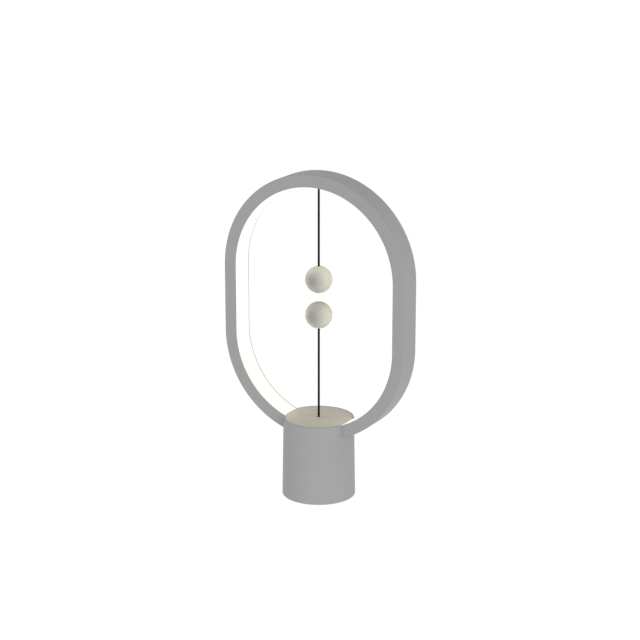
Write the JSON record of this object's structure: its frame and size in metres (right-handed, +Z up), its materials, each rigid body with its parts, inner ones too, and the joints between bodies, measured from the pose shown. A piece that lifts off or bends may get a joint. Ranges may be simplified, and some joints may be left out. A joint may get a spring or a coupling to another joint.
{
  "type": "magnetic balance lamp",
  "caption": "Upright lit loop on a round base; a ball held up by magnetic pull from a hanging ball works the switch through its string.",
  "frame": {"origin": "centre of the face that the lamp stands on", "axes": "+Z up, the longest extent; X along the loop's width; -Y the front, +Y the back with the power inlet, the shortest extent"},
  "size_m": [0.1486, 0.0544, 0.244],
  "materials": {
    "grey_housing": "fine matt moulded",
    "warm_grey_cover": "fine matt moulded",
    "opal_diffuser": "opal, lit from behind",
    "ball_plastic": "satin moulded",
    "string": "braided",
    "strip_film": "white flexible film",
    "led_phosphor": "yellow phosphor",
    "inner_plastic": "moulded",
    "screw_steel": "zinc plated",
    "guide_nylon": "natural nylon",
    "pad_rubber": "matt",
    "ballast_iron": "turned, oiled",
    "board_laminate": "green solder mask",
    "black_plastic": "moulded",
    "inlet_steel": "pressed sheet",
    "contact_brass": "plated",
    "red_wire": "wire sleeve",
    "blue_wire": "wire sleeve",
    "magnet_nickel": "nickel plated"
  },
  "bodies": {
    "lamp": {"base_shell": "grey_housing", "top_cover": "warm_grey_cover", "ring_frame": "grey_housing", "diffuser": "opal_diffuser", "led_strip": "strip_film", "led_chips": "led_phosphor", "ring_bracket": "inner_plastic", "cover_screws": "screw_steel", "bracket_screws": "screw_steel", "string_guide": "guide_nylon", "base_plate": "inner_plastic", "base_screws": "screw_steel", "foot_pad": "pad_rubber", "ballast": "ballast_iron", "ballast_screw": "screw_steel", "circuit_board": "board_laminate", "board_screws": "screw_steel", "board_parts": "black_plastic", "power_inlet": "inlet_steel", "inlet_tongue": "black_plastic", "switch_body": "black_plastic", "switch_terminals": "contact_brass", "switch_screws": "screw_steel", "led_wires": "red_wire", "switch_wires": "blue_wire", "upper_anchor": "string"},
    "string_slider": {"string_tail": "string", "tail_bead": "screw_steel"},
    "lever": {"switch_lever": "inlet_steel"},
    "button": {"switch_button": "black_plastic"},
    "lower_knot": {"lower_knot": "string"},
    "lower_ball": {"lower_string": "string", "lower_ball_cap": "ball_plastic", "lower_ball_cup": "ball_plastic", "lower_magnet": "magnet_nickel", "lower_crimp": "inlet_steel"},
    "upper_knot": {"upper_knot": "string"},
    "upper_ball": {"upper_string": "string", "upper_ball_cap": "ball_plastic", "upper_ball_cup": "ball_plastic", "upper_magnet": "magnet_nickel", "upper_crimp": "inlet_steel"}
  },
  "joints": [
    {"name": "string_pull", "type": "slide", "parent": "lamp", "child": "string_slider", "axis": [0, 0, 1], "range_m": [-0.0015, 0], "stiffness_N_per_m": 150, "springref_m": 0.002},
    {"name": "lever_tilt", "type": "hinge", "parent": "lamp", "child": "lever", "pos_m": [0, 0.0152, 0.032], "axis": [1, 0, 0], "range_deg": [-1, 7]},
    {"name": "button_press", "type": "slide", "parent": "lamp", "child": "button", "axis": [0, 0, 1], "range_m": [-0.0007, 0.0001]},
    {"name": "lower_swing_side", "type": "hinge", "parent": "string_slider", "child": "lower_knot", "pos_m": [0, 0, 0.0623], "axis": [0, 1, 0], "range_deg": [-43, 43], "stiffness_Nm_per_rad": 0.015},
    {"name": "lower_swing_front", "type": "hinge", "parent": "lower_knot", "child": "lower_ball", "pos_m": [0, 0, 0.0623], "axis": [1, 0, 0], "range_deg": [-90, 90], "stiffness_Nm_per_rad": 0.015},
    {"name": "upper_swing_side", "type": "hinge", "parent": "lamp", "child": "upper_knot", "pos_m": [0, 0, 0.2336], "axis": [0, 1, 0], "range_deg": [-46, 46]},
    {"name": "upper_swing_front", "type": "hinge", "parent": "upper_knot", "child": "upper_ball", "pos_m": [0, 0, 0.2336], "axis": [1, 0, 0], "range_deg": [-90, 90]}
  ],
  "couplings": [
    {"joint": "lever_tilt", "follows": "string_pull", "rad_per_m": -65.79},
    {"joint": "button_press", "follows": "string_pull", "ratio": 0.36184}
  ]
}
